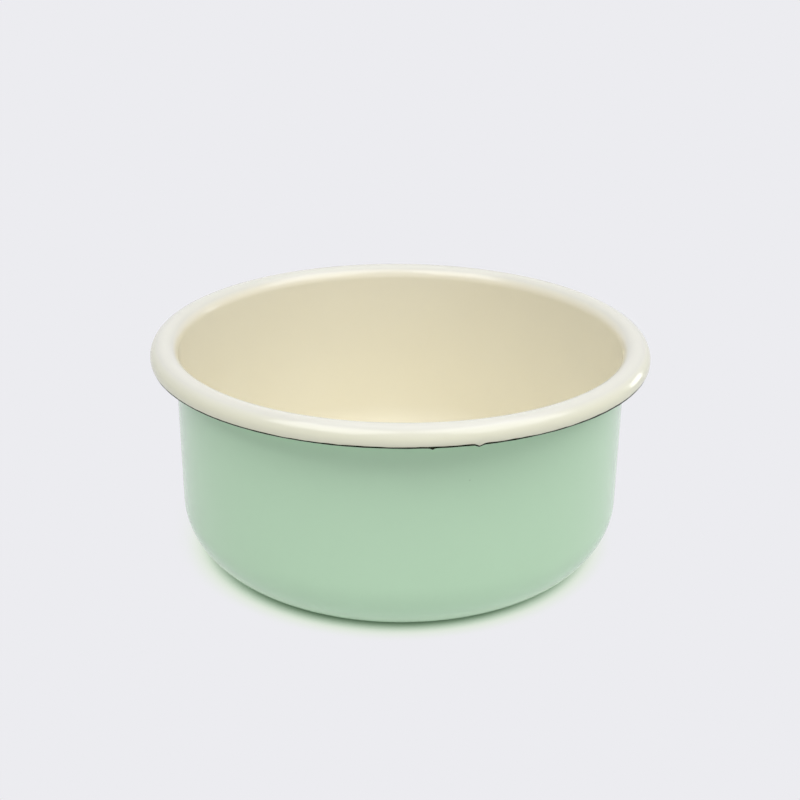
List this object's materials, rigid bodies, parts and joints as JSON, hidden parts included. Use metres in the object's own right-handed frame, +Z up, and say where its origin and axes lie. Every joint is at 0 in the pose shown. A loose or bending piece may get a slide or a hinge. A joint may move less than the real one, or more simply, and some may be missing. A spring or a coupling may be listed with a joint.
{
  "type": "dog bowl",
  "caption": "Round straight-sided dog bowl of pressed steel with a rolled rim, enamelled cream inside and mint green outside, for pet food or water.",
  "frame": {"origin": "centre of the standing ring, on the surface that the bowl stands on", "axes": "+Z up along the bowl's axis, towards its open mouth; X and Y are any two directions square to it, as the bowl is round"},
  "size_m": [0.1798, 0.1798, 0.0828],
  "materials": {
    "steel": "pickled low-carbon sheet steel, hidden under the enamel",
    "ground_enamel": "dark glossy vitreous ground coat, seen only as a thin line under the rim",
    "cream_enamel": "glossy cream vitreous enamel",
    "mint_enamel": "glossy pale mint-green vitreous enamel"
  },
  "bodies": {
    "root": {"steel_body": "steel", "ground_coat_inside": "ground_enamel", "ground_coat_outside": "ground_enamel", "cream_cover_coat": "cream_enamel", "mint_cover_coat": "mint_enamel"}
  },
  "joints": []
}
